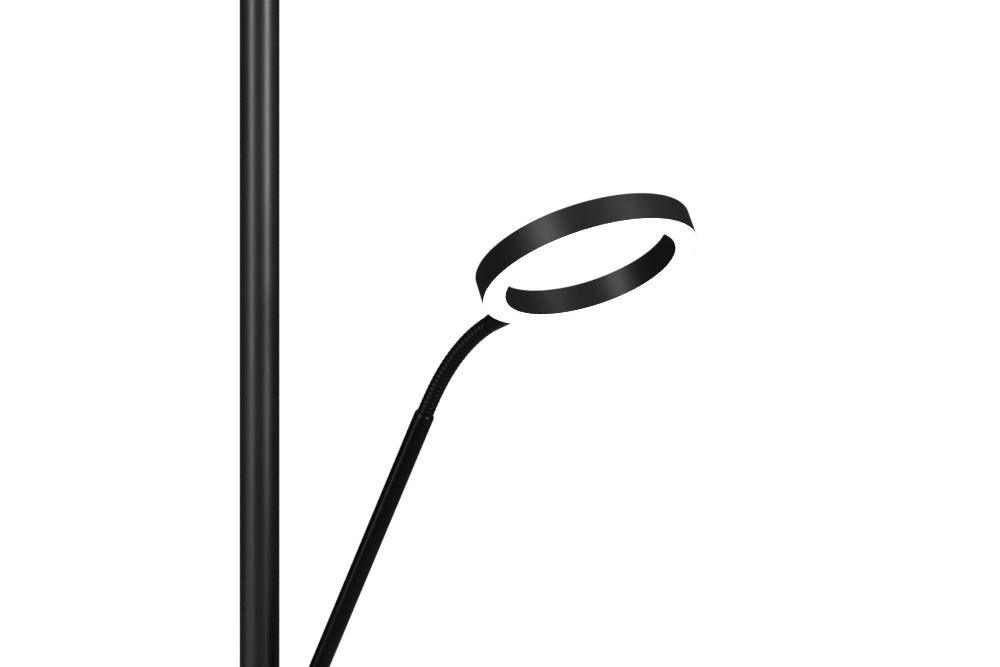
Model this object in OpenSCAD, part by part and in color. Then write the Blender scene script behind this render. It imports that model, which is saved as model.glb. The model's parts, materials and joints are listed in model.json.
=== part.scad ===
// Torchiere floor lamp: a ring-shaped uplighter on a three-piece pole, with a
// ring-shaped reading lamp on a leaning tube and a flexible neck.
// Millimetres. The pole stands on the origin, +Z is up, the reading arm leans
// towards +X and the uplighter ring reaches towards -X.

/* [Overall] */
// Height of the uplighter's top edge above the floor
total_h = 1830; // [1760:5:1900]

/* [Base] */
// Diameter of the base
base_d = 280; // [270:5:320]
// Height of the base's top face above the floor
base_h = 26; // [25:0.5:30]
// Thickness of the foam pad under the base
pad_t = 2; // [1:0.5:3]
// Thickness of the steel bottom plate
plate_t = 3; // [2:0.5:4]
// Wall of the spun base cover
cover_t = 1.5; // [1:0.1:2]
// Radius of the cover's upper edge
cover_edge = 7; // [4:0.5:8]

/* [Pole] */
// Outer diameter of the pole
pole_d = 25; // [24:0.5:27]
// Wall thickness of the pole tubes
pole_wall = 1.5; // [1.2:0.1:1.8]
// Height of the joint between the lower and the middle tube
pole_joint_z = 520; // [450:10:600]

/* [Dimmer housing] */
// Height of the housing's lower face
hub_z = 1008; // [1000:1:1012]
// Overall height of the housing with its two caps
hub_h = 96; // [94:1:100]
// Outer diameter of the housing
hub_d = 34; // [34:0.5:38]
// Wall of the housing
hub_wall = 1.8; // [1.5:0.1:2]
// Diameter of the two rotary knobs
knob_d = 18; // [16:0.5:20]
// Length of the knobs
knob_l = 12; // [10:0.5:14]
// Distance between the two knobs
knob_pitch = 24; // [23:0.5:25]

/* [Reading arm] */
// Lean of the arm tube from the vertical, as it stands
arm_lean = 28.85; // [24:0.05:36]
// Distance of the arm's pivot from the pole's axis
pivot_x = 30; // [30:0.5:32]
// Distance from the pivot to the upper end of the arm tube
arm_len = 227.7; // [180:0.1:280]
// Outer diameter of the arm tube
arm_d = 12; // [12:0.5:13]

/* [Flexible neck] */
// Outer diameter of the flexible neck
flex_d = 10; // [9.8:0.1:10]
// Distance between two ribs
rib_pitch = 3; // [2.9:0.1:3.2]
// Angle through which the neck bends, as it stands
flex_bend = 34.8; // [0:0.1:45]
// How far the bend gathers towards the head: 1 is an even arc
flex_ease = 1.45; // [1:0.05:2]

/* [Reading ring] */
// Outer diameter of the reading ring
ring_od = 123; // [115:1:135]
// Inner diameter of the reading ring
ring_id = 97.4; // [90:0.2:98]
// Height of the reading ring
ring_h = 15.6; // [15:0.2:18]
// Length of the cone between neck and ring
neck_len = 17; // [16:0.5:20]
// Turn of the ring about its neck, as it stands
head_roll = -5.6; // [-10:0.1:10]

/* [Uplighter ring] */
// Outer diameter of the uplighter ring
up_od = 280; // [240:5:300]
// Inner diameter of the uplighter ring
up_id = 224; // [190:2:226]
// Height of the uplighter ring
up_h = 24; // [24:0.5:26]
// Distance from the tilt pivot to the ring's outer wall
up_gap = 24; // [24:0.5:28]

/* [Hidden] */
$fn = 96;
eps = 0.01;
fit = 0.05;        // radial play of a turning shaft in its bore
seat = 0.02;       // play between two parts that are fixed together

BLACK = [0.06, 0.06, 0.065];
STEEL = [0.62, 0.63, 0.65];
IRON = [0.2, 0.2, 0.21];
OPAL = [0.96, 0.96, 0.94];
RUBBER = [0.04, 0.04, 0.04];
BOARD = [0.9, 0.9, 0.88];
BRASS = [0.72, 0.58, 0.3];

// Base
weight_d = base_d - 44;
weight_z = pad_t + plate_t;
weight_top = base_h - cover_t - 5.5;
screw_pcd = weight_d - 36;
screw_r = 2;
screw_head_r = 4;
screw_head_h = 2;
screw_l = 9;               // shank above the countersunk head
nipple_or = 5;             // threaded nipple that holds the pole on the base
nipple_ir = 3.5;
nut_top = base_h - cover_t - 5;
inlet_z = 11.5;            // height of the cord inlet
inlet_r = 3.6;             // bore of the inlet's grommet
grommet_r = 5.95;          // its waist, in the cover's wall
grommet_lip = 2.4;         // its inner flange
channel_w = 7;             // groove for the feed cable under the weight
channel_top = 11;
driver_size = [100, 40, 14];
driver_y = 64;
block_size = [22, 15, 12];
block_y = 98;

// Pole
pole_ir = pole_d / 2 - pole_wall;
spigot_r = pole_ir - fit;
coupler_l = 25;            // depth of the coupler in each tube
foot_insert_h = 26;
collar_h = 10;
coupler_flange = 1.5;
lead_r = 2;                // feed cable
lead_z = weight_z + 2.6;   // height of its run under the weight
lead_bend = 5;
nipple_z = lead_z + lead_bend;
nipple_h = 36;

// Dimmer housing
cap_t = 4;
hub_ir = hub_d / 2 - hub_wall;
hub_top = hub_z + hub_h;
knob_z1 = hub_z + 22;
knob_z2 = knob_z1 + knob_pitch;
knob_x = hub_d / 2 + 1.2;
shaft_r = 3;
board_x = -5;
board_w = 22;
board_t = 1.6;
board_below = 11;          // board's lower edge, below the lower control's axis
pot_h = 10;
pot_w = 12;
cap_skirt = 6;             // spigot of a cap in the housing
cap_spigot = 22;           // and in the pole tube
set_r = 2;                 // set screws
set_z = cap_t + 3;         // their height above the housing's end
lug_r = 1.5;               // screws that hold the clevis
lug_pitch = 10;
set_zs = [hub_z + set_z, hub_top - set_z];

// Reading arm
arm_root_z = 1030;
pivot_z = arm_root_z + pivot_x / tan(arm_lean);
lug_zs = [pivot_z - lug_pitch / 2, pivot_z + lug_pitch / 2];
knuckle_r = 9;
tongue_t = 6;
washer_t = 1;
ear_gap = tongue_t + 2 * washer_t + 4 * fit;
ear_t = 4;
pin_r = 2.5;
socket_low = 11;           // socket of the tube, measured from the pivot
socket_floor = 18;
socket_top = 34;
arm_wall = 1;
plug_l = 18;

// Flexible neck
flex_links = 8;            // links that stand for the winding
ribs_per_link = 3;
link_len = ribs_per_link * rib_pitch;
flex_len = flex_links * link_len;
rib_r = 0.95;
core_r = flex_d / 2 - 1;
ball_r = 3.2;
ball_play = 0.3;
wire_r = 1.6;              // bore for the wires
link_gap = 0.6;
nipple_r = 3;
nipple_l = 9;

// Rings
ring_wall = 0.8;
ring_plate = 1.5;
ring_diffuser_t = 2.5;
ring_r = ring_od / 2;
ring_leds = 24;
up_wall = 1.2;
up_plate = 1.6;
up_diffuser_t = 3;
up_leds = 60;
cone_r1 = flex_d / 2;
cone_r2 = 6.5;
thread_r = 3;              // threaded spigot of the reading ring's cone
up_thread_r = 5;

// Top joint
tilt_z = total_h - up_h / 2;
fork_base = 22.5;          // from the pivot down to the fork's disc
fork_disc = 5;
pole_top = tilt_z - fork_base - fork_disc - 0.5;
stem_r = 7;
stem_l = 30;
bush_l = 24;
clip_t = 1;
clip_z = pole_top - bush_l - clip_t - 0.4;
groove_r = stem_r - 0.8;   // clip's groove in the fork's stem
up_x = -(up_gap + up_od / 2);

// ---------- helpers ----------

// Points of an arc, anticlockwise from angle a1 to a2
function arc(c, r, a1, a2, n = 8) =
    [for (i = [0:n]) c + r * [cos(a1 + (a2 - a1) * i / n), sin(a1 + (a2 - a1) * i / n)]];

// A solid turned from a closed outline of [radius, height] points
module turned(outline) rotate_extrude() polygon(outline);

module pipe(r_out, r_in, h) difference() {
    cylinder(r = r_out, h = h);
    translate([0, 0, -1]) cylinder(r = r_in, h = h + 2);
}

// A disc with both rims chamfered
module edged_disc(r, h, c) turned([
    [0, 0], [r - c, 0], [r, c], [r, h - c], [r - c, h], [0, h]]);

module hexagon(across, h) cylinder(d = across / cos(30), h = h, $fn = 6);

// U-shaped ring channel with its plate on top, open downwards
module ring_channel(od, id, h, wall, plate, c = 0.4) turned([
    [od / 2, -h / 2], [od / 2, h / 2 - c], [od / 2 - c, h / 2], [id / 2 + c, h / 2],
    [id / 2, h / 2 - c], [id / 2, -h / 2], [id / 2 + wall, -h / 2],
    [id / 2 + wall, h / 2 - plate], [od / 2 - wall, h / 2 - plate], [od / 2 - wall, -h / 2]]);

// Flat ring that closes the channel's open side
module ring_lens(od, id, h, wall, t) {
    play = 0.1;
    translate([0, 0, -h / 2 + 0.1]) pipe(od / 2 - wall - play, id / 2 + wall + play, t);
}

// Annular circuit board with its lamps soldered on, below the channel's plate
module ring_board(od, id, h, wall, plate, count) {
    play = 0.6;
    board_t = 1.2;
    chip = [3.5, 2.8, 0.8];
    top = h / 2 - plate - 0.05;
    translate([0, 0, top - board_t])
        pipe(od / 2 - wall - play, id / 2 + wall + play, board_t);
    for (i = [0:count - 1])
        rotate([0, 0, (i + 0.5) * 360 / count])
            translate([(od + id) / 4, 0, top - board_t - chip[2] / 2 + eps])
                cube(chip, center = true);
}

// Two ears with a pin hole, for a pivot on the local origin; the ears reach down the local -Z
module ears(reach) difference() {
    for (side = [-1, 1])
        translate([0, side * (ear_gap + ear_t) / 2, 0]) {
            rotate([90, 0, 0]) cylinder(r = knuckle_r, h = ear_t, center = true);
            translate([0, 0, -reach / 2]) cube([2 * knuckle_r, ear_t, reach], center = true);
        }
    rotate([90, 0, 0]) cylinder(r = pin_r + fit, h = 60, center = true);
}

// Pivot screw along Y with its head on the -Y side
module pivot_screw() {
    head_t = 3;
    outer = ear_gap / 2 + ear_t;
    difference() {
        union() {
            translate([0, -outer - head_t, 0]) rotate([-90, 0, 0]) edged_disc(5, head_t, 0.5);
            translate([0, -outer - eps, 0]) rotate([-90, 0, 0])
                cylinder(r = pin_r, h = 2 * outer + 4.6);
        }
        translate([0, -outer - head_t - eps, 0]) rotate([-90, 0, 0]) hexagon(3, 2);
    }
}

module pivot_nut() translate([0, ear_gap / 2 + ear_t, 0]) rotate([-90, 0, 0]) difference() {
    hexagon(8, 4);
    translate([0, 0, -1]) cylinder(r = pin_r + seat, h = 6);
}

module friction_washers() for (side = [-1, 1])
    translate([0, side * (tongue_t / 2 + fit + washer_t / 2), 0]) rotate([90, 0, 0])
        translate([0, 0, -washer_t / 2]) pipe(7, pin_r + fit, washer_t);

// Tongue that turns between two ears, with the pin's bore
module tongue(reach, width) difference() {
    union() {
        rotate([90, 0, 0]) cylinder(r = knuckle_r, h = tongue_t, center = true);
        translate([-width / 2, -tongue_t / 2, 0]) cube([width, tongue_t, reach]);
    }
    rotate([90, 0, 0]) cylinder(r = pin_r + fit, h = 20, center = true);
}

// ---------- base ----------

module floor_pad() color(RUBBER) cylinder(d = base_d - 20, h = pad_t);

module screw_places() for (a = [45:90:315]) rotate([0, 0, a])
    translate([screw_pcd / 2, 0, 0]) children();

module base_plate() color(STEEL) difference() {
    translate([0, 0, pad_t]) cylinder(d = base_d - 12, h = plate_t);
    screw_places() translate([0, 0, pad_t - eps])
        cylinder(r1 = screw_head_r + 0.1, r2 = screw_r + 0.1, h = screw_head_h + 0.1);
    screw_places() translate([0, 0, pad_t - 1]) cylinder(r = screw_r + 0.1, h = plate_t + 2);
}

module base_screws() color(STEEL) screw_places() difference() {
    union() {
        translate([0, 0, pad_t + fit]) cylinder(r1 = screw_head_r, r2 = screw_r, h = screw_head_h);
        translate([0, 0, pad_t + screw_head_h]) cylinder(r = screw_r, h = screw_l);
    }
    translate([0, 0, pad_t - eps]) hexagon(2.5, 1.6);
}

module base_weight() color(IRON) difference() {
    union() {
        translate([0, 0, weight_z]) cylinder(d = weight_d, h = weight_top - weight_z);
        translate([0, 0, weight_z]) cylinder(d = 50, h = base_h - cover_t - weight_z);
    }
    // seat of the flange nut, and the nipple's hole
    translate([0, 0, weight_z - 1]) cylinder(r = 13, h = nut_top - weight_z + 1);
    cylinder(r = nipple_or + 0.1, h = base_h);
    // window for the driver, with the way to the cord inlet
    translate([-driver_size[0] / 2 - 4, driver_y - driver_size[1] / 2 - 4, weight_z - 1])
        cube([driver_size[0] + 8, driver_size[1] + 8, 30]);
    translate([-15, driver_y, weight_z - 1]) cube([30, weight_d / 2, 30]);
    // groove for the feed cable
    translate([-channel_w / 2, 0, weight_z - 1])
        cube([channel_w, driver_y, channel_top - weight_z + 1]);
    // blind holes, a little deeper than the screws reach
    screw_places() translate([0, 0, weight_z - 1])
        cylinder(r = screw_r + fit, h = pad_t + screw_head_h + screw_l - weight_z + 2);
}

function cover_outline(r, h, edge, low) =
    concat([[0, low], [r, low]], arc([r - edge, h - edge], edge, 0, 90), [[0, h]]);

module base_cover() color(BLACK) difference() {
    turned(cover_outline(base_d / 2, base_h, cover_edge, pad_t));
    turned(cover_outline(base_d / 2 - cover_t, base_h - cover_t, cover_edge - cover_t, pad_t - 1));
    translate([0, 0, base_h - 5]) cylinder(r = nipple_or + 0.2, h = 10);
    translate([0, base_d / 2 - 10, inlet_z]) rotate([-90, 0, 0])
        cylinder(r = grommet_r + fit, h = 20);
}

module base_nipple() color(BRASS) translate([0, 0, nipple_z]) pipe(nipple_or, nipple_ir, nipple_h);

module base_nut() color(STEEL) difference() {
    low = nipple_z + 0.4;
    flange_t = 2;
    union() {
        translate([0, 0, low]) hexagon(17, nut_top - low);
        translate([0, 0, nut_top - flange_t]) cylinder(r = 12, h = flange_t);
    }
    cylinder(r = nipple_or + seat, h = base_h);
}

module pole_collar() color(BLACK) translate([0, 0, base_h]) {
    foot_r = pole_d / 2 + 8.5;
    foot_t = 1.5;
    flare_r = 6.5;
    top_r = foot_r - flare_r;
    chamfer = 0.6;
    turned(concat(
        [[pole_d / 2 + fit, 0], [foot_r, 0], [foot_r, foot_t]],
        arc([foot_r, foot_t + flare_r], flare_r, 270, 180),
        [[top_r, collar_h - chamfer], [top_r - chamfer, collar_h], [pole_d / 2 + fit, collar_h]]));
}

module cord_grommet() color(RUBBER)
    translate([0, base_d / 2 - cover_t - grommet_lip - 0.2, inlet_z]) rotate([-90, 0, 0]) difference() {
        flange_r = 7.6;
        outer_lip = 2.3;
        length = grommet_lip + cover_t + 2.8;
        union() {
            edged_disc(flange_r, grommet_lip - 0.2, 0.5);
            cylinder(r = grommet_r, h = length);
            translate([0, 0, length - outer_lip]) edged_disc(flange_r, outer_lip, 0.8);
        }
        translate([0, 0, -1]) cylinder(r = inlet_r, h = length + 2);
    }

module led_driver() color(BOARD) translate([0, driver_y, weight_z + 0.05]) {
    w = driver_size[0];
    d = driver_size[1];
    h = driver_size[2];
    difference() {
        translate([-w / 2, -d / 2, 0]) cube([w, d, h]);
        for (side = [-1, 1]) translate([side * w / 2, 0, h]) cube([24, d - 8, 8], center = true);
        for (side = [-1, 1]) translate([side * (w / 2 - 5), 0, -1]) cylinder(r = 2, h = h);
    }
}

module terminal_block() color(BOARD) translate([0, block_y, weight_z + 0.05]) difference() {
    translate([-block_size[0] / 2, -block_size[1] / 2, 0]) cube(block_size);
    for (x = [-7, 0, 7]) {
        translate([x, 0, 7]) cylinder(r = 2, h = 10);
        translate([x, 0, 4]) rotate([90, 0, 0]) cylinder(r = 1.6, h = 40, center = true);
    }
}

// ---------- pole ----------

module pole_tube(z1, z2) translate([0, 0, z1]) pipe(pole_d / 2, pole_ir, z2 - z1);

module pole_foot_insert() color(STEEL) translate([0, 0, base_h])
    pipe(spigot_r, nipple_or + seat, foot_insert_h);

module lower_pole() color(BLACK) pole_tube(base_h, pole_joint_z);

module pole_coupler() color(STEEL) translate([0, 0, pole_joint_z]) difference() {
    union() {
        cylinder(r = pole_d / 2 - 0.4, h = coupler_flange);
        translate([0, 0, -coupler_l]) cylinder(r = spigot_r, h = 2 * coupler_l + coupler_flange);
    }
    translate([0, 0, -2 * coupler_l]) cylinder(r = 6, h = 4 * coupler_l);
}

module middle_pole() color(BLACK) pole_tube(pole_joint_z + coupler_flange, hub_z);

module upper_pole() color(BLACK) pole_tube(hub_top, pole_top);

// Mains-side lead: out of the driver, along the groove and up the pole
module feed_cable() color(RUBBER) {
    start_y = driver_y - driver_size[1] / 2 - 0.3;
    end_z = knob_z1 - board_below - 2;
    translate([0, start_y, lead_z]) rotate([90, 0, 0]) cylinder(r = lead_r, h = start_y - lead_bend);
    translate([0, lead_bend, nipple_z]) rotate([90, 0, 90]) rotate([0, 0, 180])
        rotate_extrude(angle = 90) translate([lead_bend, 0]) circle(r = lead_r);
    translate([0, 0, nipple_z]) cylinder(r = lead_r, h = end_z - nipple_z);
}

module uplight_cable() color(RUBBER) {
    low = knob_z2 + board_below;
    translate([0, 0, low]) cylinder(r = lead_r, h = pole_top - 4 - low);
}

// ---------- dimmer housing ----------

// Cap with its cone down: a spigot above for the housing and one below for the tube
module hub_cap() difference() {
    union() {
        turned([[0, 0], [pole_d / 2 + 0.6, 0], [hub_d / 2 - 0.4, cap_t - 1.4], [hub_d / 2, cap_t - 1],
                [hub_d / 2, cap_t], [0, cap_t]]);
        cylinder(r = hub_ir - seat, h = cap_t + cap_skirt);
        translate([0, 0, -cap_spigot]) cylinder(r = spigot_r, h = cap_spigot + 1);
    }
    translate([0, 0, -cap_spigot - 1]) cylinder(r = 5, h = cap_spigot + cap_t + cap_skirt + 2);
    translate([-hub_ir - 1, 0, set_z]) rotate([0, 90, 0]) cylinder(r = set_r + seat, h = 8);
}

module hub_lower_cap() color(BLACK) translate([0, 0, hub_z]) hub_cap();

module hub_upper_cap() color(BLACK) translate([0, 0, hub_top]) mirror([0, 0, 1]) hub_cap();

module hub_housing() color(BLACK) difference() {
    union() {
        translate([0, 0, hub_z + cap_t]) cylinder(d = hub_d, h = hub_h - 2 * cap_t);
        for (z = [knob_z1, knob_z2]) translate([hub_d / 2 - 7, 0, z]) rotate([0, 90, 0])
            cylinder(r = knob_d / 2 + 1, h = 7.6); // flat boss behind the knob
    }
    translate([0, 0, hub_z]) cylinder(r = hub_ir, h = hub_h);
    for (z = [knob_z1, knob_z2]) translate([0, 0, z]) rotate([0, 90, 0])
        cylinder(r = shaft_r + 0.4, h = 40);
    for (z = set_zs)
        translate([-hub_d, 0, z]) rotate([0, 90, 0]) cylinder(r = set_r + seat, h = hub_d);
    for (z = lug_zs) translate([0, 0, z]) rotate([0, 90, 0]) cylinder(r = lug_r + fit, h = 40);
}

module hub_set_screws() color(STEEL) for (z = set_zs)
    translate([-hub_d / 2 + 0.2, 0, z]) rotate([0, 90, 0]) difference() {
        cylinder(r = set_r, h = 6);
        translate([0, 0, -eps]) hexagon(2, 2);
    }

module dimmer_board() color([0.1, 0.3, 0.16]) {
    translate([board_x - board_t, -board_w / 2, knob_z1 - board_below])
        cube([board_t, board_w, knob_pitch + 2 * board_below - 2]);
    for (z = [knob_z1, knob_z2]) translate([board_x - eps, -pot_w / 2, z - pot_w / 2])
        cube([pot_h, pot_w, pot_w]);
    for (z = [knob_z1, knob_z2]) translate([board_x + pot_h - 2 * eps, 0, z]) rotate([0, 90, 0])
        pipe(shaft_r + 1.2, shaft_r + fit, 5);
}

module knob_shaft(z) translate([board_x + pot_h + 0.3, 0, z]) rotate([0, 90, 0])
    cylinder(r = shaft_r, h = knob_x + 8 - board_x - pot_h - 0.3);

module uplight_shaft() color(STEEL) knob_shaft(knob_z2);
module reading_shaft() color(STEEL) knob_shaft(knob_z1);

module knob(z) translate([knob_x, 0, z]) rotate([0, 90, 0]) difference() {
    flutes = 24;
    turned([[0, 0], [knob_d / 2 - 0.5, 0], [knob_d / 2, 0.5], [knob_d / 2, knob_l - 1.2],
            [knob_d / 2 - 1.2, knob_l], [0, knob_l]]);
    translate([0, 0, -1]) cylinder(r = shaft_r + seat, h = 9 + seat);
    for (i = [0:flutes - 1]) rotate([0, 0, (i + 0.5) * 360 / flutes])
        translate([knob_d / 2 + 0.35, 0, 2]) cylinder(r = 0.8, h = knob_l, $fn = 16);
    // pointer line on the face
    translate([-knob_d / 2, -0.5, knob_l - 0.5]) cube([knob_d / 2 - 2, 1, 2]);
}

module uplight_knob() color(BLACK) knob(knob_z2);
module reading_knob() color(BLACK) knob(knob_z1);

// ---------- arm ----------

module arm_clevis() color(BLACK) difference() {
    translate([pivot_x, 0, pivot_z]) rotate([0, 90, 0]) union() {
        ears(pivot_x - hub_d / 2 + 1);
        // saddle plate that joins the ears
        root = pivot_x - 12;
        width = ear_gap + 2 * ear_t;
        translate([-10, -width / 2, -root]) cube([20, width, root - knuckle_r - 1.2]);
    }
    cylinder(d = hub_d + 2 * seat, h = 2 * pivot_z);
    for (z = lug_zs) translate([0, 0, z]) rotate([0, 90, 0]) cylinder(r = lug_r + seat, h = 40);
}

module clevis_screws() color(STEEL) for (z = lug_zs)
    translate([hub_ir - 2.3, 0, z]) rotate([0, 90, 0]) {
        cylinder(r = 2.6, h = 2);
        cylinder(r = lug_r, h = 6.4);
    }

module at_pivot() translate([pivot_x, 0, pivot_z]) rotate([0, arm_lean, 0]) children();

module arm_knuckle() color(BLACK) at_pivot() difference() {
    socket_r = arm_d / 2 + 1.5;
    chamfer = 0.6;
    union() {
        tongue(socket_low + 5, 12);
        turned([[0, socket_low], [socket_r - 2, socket_low], [socket_r, socket_low + 2],
                [socket_r, socket_top - chamfer], [socket_r - chamfer, socket_top], [0, socket_top]]);
    }
    translate([0, 0, socket_floor]) cylinder(r = arm_d / 2 + seat, h = 40);
    translate([0, 0, knuckle_r + 4]) cylinder(r = 2, h = 20);
}

module arm_tube() color(BLACK) at_pivot() {
    // drawn in a little at its upper end
    end = arm_len - 0.4;
    turned([
        [arm_d / 2 - arm_wall, socket_floor], [arm_d / 2, socket_floor], [arm_d / 2, end - 1.2],
        [arm_d / 2 - 0.2, end - 0.5], [arm_d / 2 - 0.6, end], [arm_d / 2 - arm_wall, end]]);
}

module arm_cable() color(RUBBER) at_pivot() {
    low = knuckle_r + 6;
    translate([0, 0, low]) cylinder(r = 1.4, h = arm_len - plug_l - 0.5 - low);
}

module flex_plug() color(STEEL) at_pivot() translate([0, 0, arm_len]) difference() {
    union() {
        translate([0, 0, -plug_l]) cylinder(r = arm_d / 2 - arm_wall - seat, h = plug_l - 1);
        sphere(r = ball_r);
    }
    translate([0, 0, -plug_l - 1]) cylinder(r = wire_r, h = plug_l + 10);
}

// ---------- flexible neck ----------

// Lean of the neck's centre line from the tube, at a distance s along it
function lean_at(s) = flex_bend * pow(s / flex_len, flex_ease);
function link_lean(k) = lean_at((k + 0.5) * link_len);
// Lower joint of link k in the arm's plane, from the tube's end
function joint_at(k) = k == 0 ? [0, 0]
    : joint_at(k - 1) + link_len * [sin(link_lean(k - 1)), cos(link_lean(k - 1))];

module at_joint(k) at_pivot()
    translate([joint_at(k)[0], 0, arm_len + joint_at(k)[1]]) children();
module at_link(k) at_joint(k) rotate([0, link_lean(k), 0]) children();
module at_neck() at_joint(flex_links) rotate([0, flex_bend, 0])
    rotate([0, 0, head_roll]) children();

module flex_link(k) color(BLACK) difference() {
    union() {
        at_link(k) {
            translate([0, 0, link_gap]) cylinder(r = core_r, h = link_len - 2 * link_gap);
            for (i = [0:ribs_per_link - 1]) translate([0, 0, (i + 0.5) * rib_pitch])
                rotate_extrude() translate([flex_d / 2 - rib_r, 0]) circle(r = rib_r);
            if (k < flex_links - 1) translate([0, 0, link_len]) sphere(r = ball_r);
        }
        if (k == flex_links - 1) at_neck() translate([0, 0, -2]) cylinder(r = nipple_r, h = nipple_l + 2);
    }
    at_link(k) sphere(r = ball_r + ball_play);
    at_link(k) cylinder(r = wire_r, h = link_len - 0.5);
    if (k < flex_links - 1) at_link(k) cylinder(r = wire_r, h = 2 * link_len);
    if (k == flex_links - 1) at_neck() translate([0, 0, -2]) cylinder(r = wire_r, h = 2 * link_len);
}

// ---------- reading head ----------

module ring_seat(r, reach) translate([0, 0, reach + r]) rotate([0, 90, 0])
    cylinder(r = r, h = 100, center = true);

module neck_cone() color(BLACK) at_neck() difference() {
    union() {
        difference() {
            translate([0, 0, 0.3]) turned([[0, 0], [cone_r1 - 0.4, 0], [cone_r1, 0.4],
                [cone_r2, neck_len + 0.6], [0, neck_len + 0.6]]);
            ring_seat(ring_r, neck_len);
        }
        translate([0, 0, neck_len - 2]) cylinder(r = thread_r, h = 2 + ring_wall + 5);
    }
    translate([0, 0, -1]) cylinder(r = nipple_r + fit, h = nipple_l + 1.5);
    cylinder(r = wire_r, h = 60);
}

module neck_nut() color(STEEL) at_neck() translate([0, 0, neck_len + ring_wall + 0.25]) difference() {
    rotate([0, 0, 30]) hexagon(10, 3.2);
    translate([0, 0, -1]) cylinder(r = thread_r + seat, h = 10);
}

// Ring frame: centre of the reading ring, +Z out of its closed upper side, the neck at -X
module at_ring() at_neck() translate([0, 0, neck_len + ring_r]) rotate([0, -90, 0]) children();

module reading_housing() color(BLACK) at_ring() difference() {
    ring_channel(ring_od, ring_id, ring_h, ring_wall, ring_plate);
    translate([-ring_r - 5, 0, 0]) rotate([0, 90, 0]) cylinder(r = thread_r + 0.1, h = 8);
}

module reading_diffuser() color(OPAL) at_ring()
    ring_lens(ring_od, ring_id, ring_h, ring_wall, ring_diffuser_t);

module reading_led_board() color(BOARD) at_ring()
    ring_board(ring_od, ring_id, ring_h, ring_wall, ring_plate, ring_leds);

// ---------- uplighter ----------

module top_bush() color(STEEL) translate([0, 0, pole_top - bush_l])
    pipe(spigot_r, stem_r + fit, bush_l);

module top_fork() color(BLACK) difference() {
    union() {
        translate([0, 0, tilt_z]) ears(fork_base + 1);
        translate([0, 0, tilt_z - fork_base - fork_disc]) edged_disc(pole_d / 2, fork_disc, 0.6);
        translate([0, 0, pole_top - stem_l + 2]) cylinder(r = stem_r, h = stem_l);
    }
    translate([0, 0, pole_top - stem_l - 5]) cylinder(r = 3, h = stem_l + 15);
    translate([0, 0, clip_z - seat]) pipe(stem_r + 1, groove_r, clip_t + 2 * seat);
    // ears keep within the pole's round
    difference() {
        translate([0, 0, tilt_z - fork_base - 6]) cylinder(r = 40, h = 80);
        translate([0, 0, tilt_z - fork_base - 7]) cylinder(r = pole_d / 2, h = 90);
    }
}

module stem_clip() color(STEEL) translate([0, 0, clip_z]) difference() {
    pipe(stem_r + 2.2, groove_r + seat, clip_t);
    translate([0, -2, -1]) cube([20, 4, clip_t + 2]);
}

module at_tilt() translate([0, 0, tilt_z]) children();

module tilt_screw() color(STEEL) at_tilt() pivot_screw();
module tilt_nut() color(STEEL) at_tilt() pivot_nut();
module tilt_washers() color(STEEL) at_tilt() friction_washers();
module arm_pivot_screw() color(STEEL) translate([pivot_x, 0, pivot_z]) pivot_screw();
module arm_pivot_nut() color(STEEL) translate([pivot_x, 0, pivot_z]) pivot_nut();
module pivot_washers() color(STEEL) translate([pivot_x, 0, pivot_z]) friction_washers();

// Neck frame of the uplighter: from the pivot towards the ring
module at_up_neck() at_tilt() rotate([0, -90, 0]) children();

module uplight_neck() color(BLACK) at_up_neck() {
    shoulder = knuckle_r + 4;
    difference() {
        union() {
            difference() {
                union() {
                    tongue(shoulder + 2, 12);
                    translate([0, 0, shoulder]) turned([[0, 0], [6.5, 0], [7, 0.5],
                        [9, up_gap - shoulder + 1.2], [0, up_gap - shoulder + 1.2]]);
                }
                ring_seat(up_od / 2, up_gap);
            }
            translate([0, 0, up_gap - 2]) cylinder(r = up_thread_r, h = 2 + up_wall + 7);
        }
        translate([0, 0, shoulder - 1]) cylinder(r = 2, h = 60);
    }
}

module uplight_nut() color(STEEL) at_up_neck() translate([0, 0, up_gap + up_wall + 0.3]) difference() {
    rotate([0, 0, 30]) hexagon(15, 5);
    translate([0, 0, -1]) cylinder(r = up_thread_r + seat, h = 10);
}

// Ring frame of the uplighter, turned over so that its open side is up
module at_up_ring() translate([up_x, 0, tilt_z]) rotate([180, 0, 0]) children();

module uplight_housing() color(BLACK) at_up_ring() difference() {
    ring_channel(up_od, up_id, up_h, up_wall, up_plate, 0.6);
    translate([up_od / 2 - 6, 0, 0]) rotate([0, 90, 0]) cylinder(r = up_thread_r + 0.1, h = 12);
}

module uplight_diffuser() color(OPAL) at_up_ring()
    ring_lens(up_od, up_id, up_h, up_wall, up_diffuser_t);

module uplight_led_board() color(BOARD) at_up_ring()
    ring_board(up_od, up_id, up_h, up_wall, up_plate, up_leds);

// ---------- assembly ----------

floor_pad();
base_plate();
base_weight();
base_cover();
base_screws();
base_nipple();
base_nut();
pole_collar();
cord_grommet();
led_driver();
terminal_block();
pole_foot_insert();
lower_pole();
pole_coupler();
middle_pole();
upper_pole();
feed_cable();
uplight_cable();
hub_housing();
hub_lower_cap();
hub_upper_cap();
hub_set_screws();
dimmer_board();
uplight_knob();
uplight_shaft();
reading_knob();
reading_shaft();
arm_clevis();
clevis_screws();
arm_knuckle();
arm_pivot_screw();
arm_pivot_nut();
pivot_washers();
arm_tube();
arm_cable();
flex_plug();
for (k = [1:flex_links])
    flex_link(k - 1);
neck_cone();
neck_nut();
reading_housing();
reading_diffuser();
reading_led_board();
top_bush();
top_fork();
stem_clip();
tilt_screw();
tilt_nut();
tilt_washers();
uplight_neck();
uplight_nut();
uplight_housing();
uplight_diffuser();
uplight_led_board();
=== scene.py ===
"""Torchiere floor lamp: a ring uplighter on a black pole, with a small ring reading
lamp on a leaning tube and a ribbed flexible neck. Metres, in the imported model's frame."""

import json
import math

import bmesh
import bpy
from mathutils import Matrix, Vector

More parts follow.
